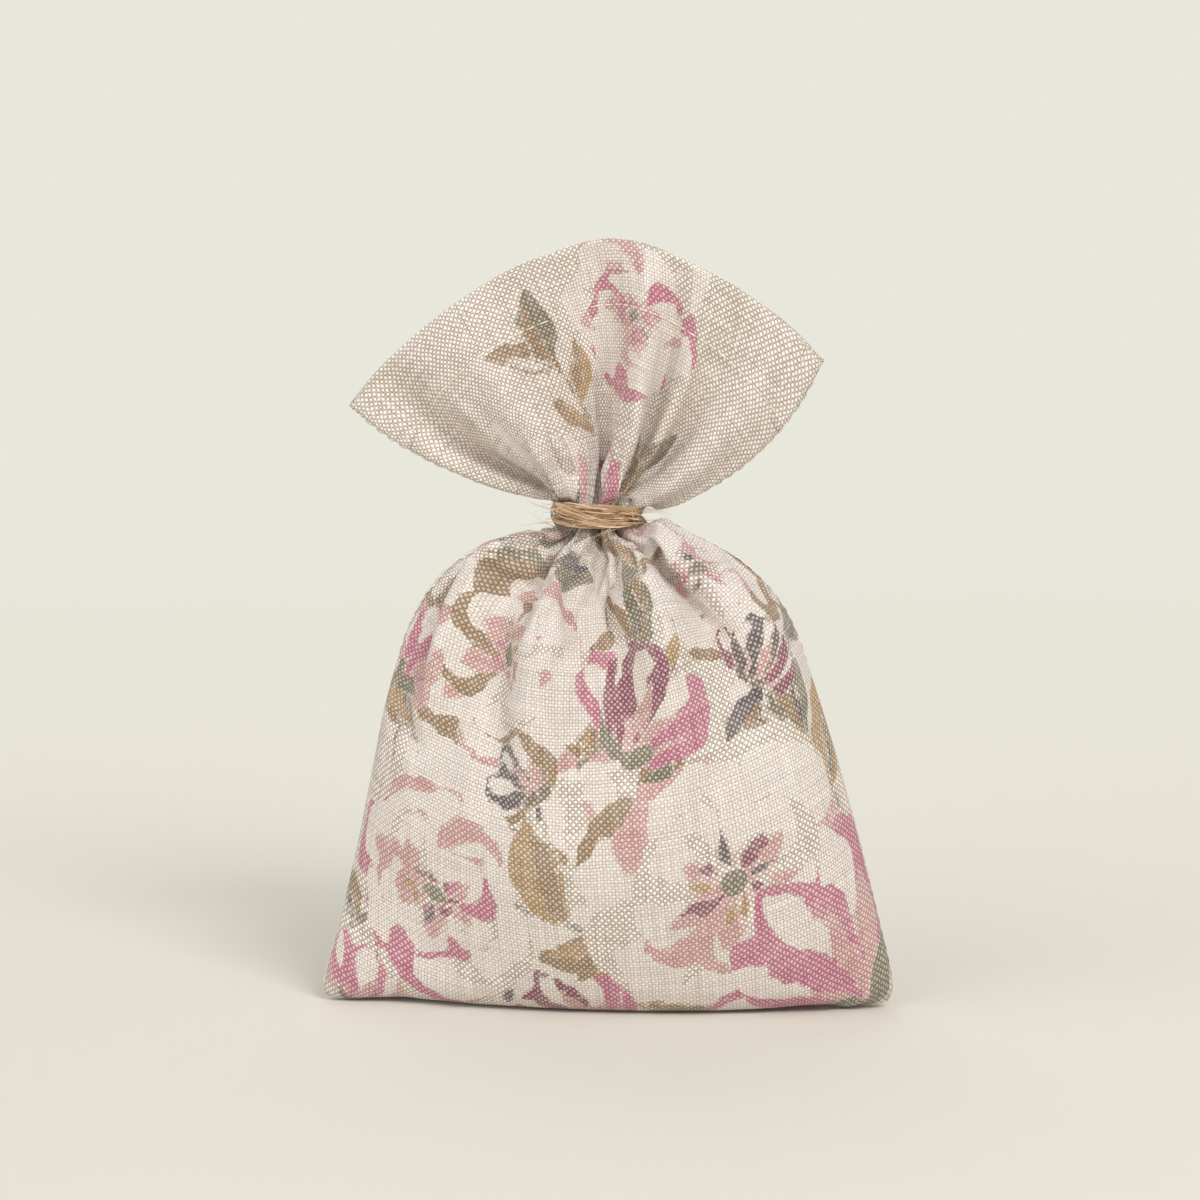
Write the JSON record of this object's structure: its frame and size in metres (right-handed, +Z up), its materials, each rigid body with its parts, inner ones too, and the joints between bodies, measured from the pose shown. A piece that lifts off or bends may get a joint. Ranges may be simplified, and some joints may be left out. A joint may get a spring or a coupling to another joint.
{
  "type": "pouch",
  "caption": "Small filled cloth pouch that stands on its base: gathered neck tied with jute twine, hemmed ruffle fanned out above",
  "frame": {"origin": "on the floor, at the middle of the pouch's foot", "axes": "+Z up along the bag, +X to the right seen from the front, front faces -Y"},
  "size_m": [0.102, 0.0448, 0.1358],
  "materials": {
    "printed_linen": "plain-woven natural linen with a soft printed flower pattern",
    "sewing_thread": "matt spun thread",
    "jute_twine": "coarse hairy natural fibre",
    "non_woven": "thermally bonded non-woven",
    "granules": "dry loose granules"
  },
  "bodies": {
    "root": {"front_panel": "printed_linen", "back_panel": "printed_linen", "side_seam_thread_left": "sewing_thread", "side_seam_thread_right": "sewing_thread", "bottom_seam_thread": "sewing_thread", "hem_thread_front": "sewing_thread", "hem_thread_back": "sewing_thread", "twine_tie": "jute_twine", "inner_bag_front": "non_woven", "inner_bag_back": "non_woven", "scent_fill": "granules"}
  },
  "joints": []
}
